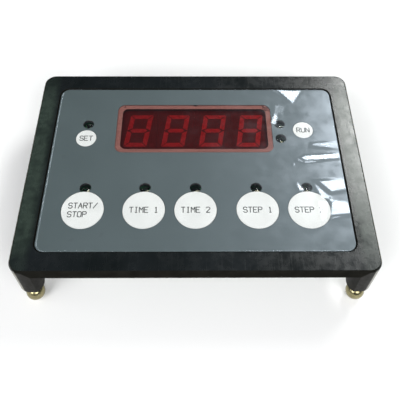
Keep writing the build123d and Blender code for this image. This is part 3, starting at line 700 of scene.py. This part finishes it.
# ---- paint every CAD node ----
TIN = bright_metal_look("tinned_lead", (0.62, 0.62, 0.60), 0.28)
GOLD = bright_metal_look("gilt_metal", (0.83, 0.66, 0.34), 0.22)
CORE = bright_metal_look("led_core", (0.42, 0.41, 0.30), 0.30)
ZINC = bright_metal_look("zinc_screw", (0.60, 0.61, 0.63), 0.32)
NICKEL = bright_metal_look("nickel_foot", (0.33, 0.295, 0.165), 0.22)
BRASS = bright_metal_look("spacer_metal", (0.70, 0.66, 0.52), 0.25)
CAN = bright_metal_look("crystal_can", (0.70, 0.70, 0.69), 0.22)
INK = ink_look()
CAP = cap_look()
SWITCH = plain_look("switch_black", (0.020, 0.020, 0.021), 0.45)
CHIP = plain_look("chip_black", (0.022, 0.022, 0.024), 0.5, depth=0.03)
HEADER = plain_look("header_black", (0.018, 0.018, 0.020), 0.4)
MODULE = module_look()
LENS = lens_look()

paint_frame()
paint("graphic_overlay", overlay_look())
paint("display_window", window_look())
paint("backing_plate", plate_look())
paint("foot_screws", NICKEL)
paint("plate_screws", ZINC)
paint("board_screws", ZINC)
paint("board_spacers", BRASS)
paint("circuit_board", board_look())
paint("microcontroller", CHIP)
paint("display_driver", CHIP)
paint("voltage_regulator", CHIP)
paint("buzzer", CHIP)
paint("crystal", CAN)
paint("resistor_networks", network_look())
paint("capacitors", plain_look("capacitor_sleeve", (0.02, 0.035, 0.11), 0.3, vary=0.1))
paint("header_shell", HEADER)
paint("header_pins", GOLD)
for name in ("switch_leads", "digit_pins", "led_leads"):
    paint(name, TIN)
for name in LARGE_KEYS + SMALL_KEYS:
    paint(f"key_cap_{name}", CAP)
    paint(f"switch_plunger_{name}", SWITCH)
    paint(f"switch_body_{name}", SWITCH)
for number in range(1, DIGIT_COUNT + 1):
    paint(f"digit_body_{number}", MODULE)
    paint(f"digit_segments_{number}", segment_look(number))
for number in range(1, LED_COUNT + 1):
    paint(f"indicator_led_{number}", LENS)

wavy_film()
for name in LARGE_KEYS + SMALL_KEYS:
    legend(name)
led_cores()
solder_joints()


# ---- stage, light and camera ----
FLOOR_HALF = 4.0
FADE_FROM, FADE_TO = 0.35, 1.0


def floor():
    """A plain pale floor that fades into the white surround away from the object."""
    look = Look("pale_floor", (0.90, 0.90, 0.90), 0.9)
    look.feed("Base Color", look.mix(look.noise(0.2, 2.0), (0.885, 0.885, 0.885), (0.915, 0.915, 0.915)))
    across = look.math("POWER", look.axis("X"), 2.0)
    along = look.math("POWER", look.axis("Y"), 2.0)
    away = look.math("SQRT", look.math("ADD", across, along))
    far = look.node("ShaderNodeEmission")
    far.inputs["Color"].default_value = (1.0, 1.0, 1.0, 1.0)
    both = look.node("ShaderNodeMixShader")
    look.link(look.ramp(away, FADE_FROM, FADE_TO), both.inputs[0])
    look.link(look.shader.outputs[0], both.inputs[1])
    look.link(far.outputs[0], both.inputs[2])
    look.link(both.outputs[0], look.output.inputs["Surface"])
    corners = [(sx * FLOOR_HALF, sy * FLOOR_HALF, 0) for sx, sy in ((-1, -1), (1, -1), (1, 1), (-1, 1))]
    mesh = mesh_from("floor", corners, [(0, 1, 2, 3)])
    mesh.materials.append(look.material)
    plane = bpy.data.objects.new("floor", mesh)
    bpy.context.scene.collection.objects.link(plane)


def area_light(name, place, target, size_x, size_y, radiance, colour=(1, 1, 1)):
    """A rectangular light of a given brightness, aimed at a point."""
    data = bpy.data.lights.new(name, "AREA")
    data.shape = "RECTANGLE"
    data.size = size_x
    data.size_y = size_y
    data.energy = radiance * math.pi * size_x * size_y
    data.color = colour
    lamp = bpy.data.objects.new(name, data)
    bpy.context.scene.collection.objects.link(lamp)
    lamp.location = place
    lamp.rotation_mode = "QUATERNION"
    lamp.rotation_quaternion = (Vector(target) - Vector(place)).to_track_quat("-Z", "Y")


def sky():
    """A pale surround that the camera sees as white, and that lights the object softly."""
    world = bpy.data.worlds.new("surround")
    world.use_nodes = True
    tree = world.node_tree
    tree.nodes.clear()
    seen = tree.nodes.new("ShaderNodeBackground")
    seen.inputs["Color"].default_value = (1.0, 1.0, 1.0, 1.0)
    soft = tree.nodes.new("ShaderNodeBackground")
    soft.inputs["Color"].default_value = (0.055, 0.060, 0.066, 1.0)
    path = tree.nodes.new("ShaderNodeLightPath")
    both = tree.nodes.new("ShaderNodeMixShader")
    output = tree.nodes.new("ShaderNodeOutputWorld")
    tree.links.new(path.outputs["Is Camera Ray"], both.inputs[0])
    tree.links.new(soft.outputs[0], both.inputs[1])
    tree.links.new(seen.outputs[0], both.inputs[2])
    tree.links.new(both.outputs[0], output.inputs["Surface"])
    bpy.context.scene.world = world


def camera():
    forward = Vector((math.sin(CAMERA_YAW) * math.cos(CAMERA_ELEVATION),
                      math.cos(CAMERA_YAW) * math.cos(CAMERA_ELEVATION),
                      -math.sin(CAMERA_ELEVATION)))
    right = forward.cross(Vector((0, 0, 1))).normalized()
    up = right.cross(forward)
    turned_right = right * math.cos(CAMERA_ROLL) + up * math.sin(CAMERA_ROLL)
    turned_up = up * math.cos(CAMERA_ROLL) - right * math.sin(CAMERA_ROLL)
    data = bpy.data.cameras.new("camera")
    data.sensor_width = 36.0
    data.lens = CAMERA_LENS
    data.shift_y = CAMERA_SHIFT
    data.clip_start = 0.01
    eye = bpy.data.objects.new("camera", data)
    bpy.context.scene.collection.objects.link(eye)
    turn = Matrix((turned_right, turned_up, -forward)).transposed().to_4x4()
    eye.matrix_world = Matrix.Translation(CAMERA_PLACE) @ turn
    bpy.context.scene.camera = eye


def window_light(name, low_x, low_y, high_x, high_y, radiance, colour):
    """A level light whose image in the plane of the panel fills a rectangle, given in millimetres."""
    near = mirrored(low_x, low_y)
    far = mirrored(high_x, high_y)
    place = (near + far) / 2
    area_light(name, place, place - Vector((0, 0, 1)), far.x - near.x, far.y - near.y, radiance, colour)


floor()
sky()
camera()
area_light("left_softbox", (-0.75, -0.85, 0.95), (0, 0, 0.02), 0.7, 0.9, 7.8)
area_light("right_softbox", (0.45, -0.95, 0.95), (0, 0, 0.02), 0.7, 0.9, 7.0)
area_light("left_fill", (-1.0, -0.1, 0.5), (0, 0, 0.02), 0.6, 0.6, 2.0)
window_light("window", 81, -17, 130, 72, 24.0, (0.98, 1.0, 0.98))
window_light("window_low", 106, -60, 140, -17, 22.0, (0.98, 1.0, 0.98))


scene = bpy.context.scene
scene.view_settings.view_transform = "Standard"
scene.view_settings.look = "None"
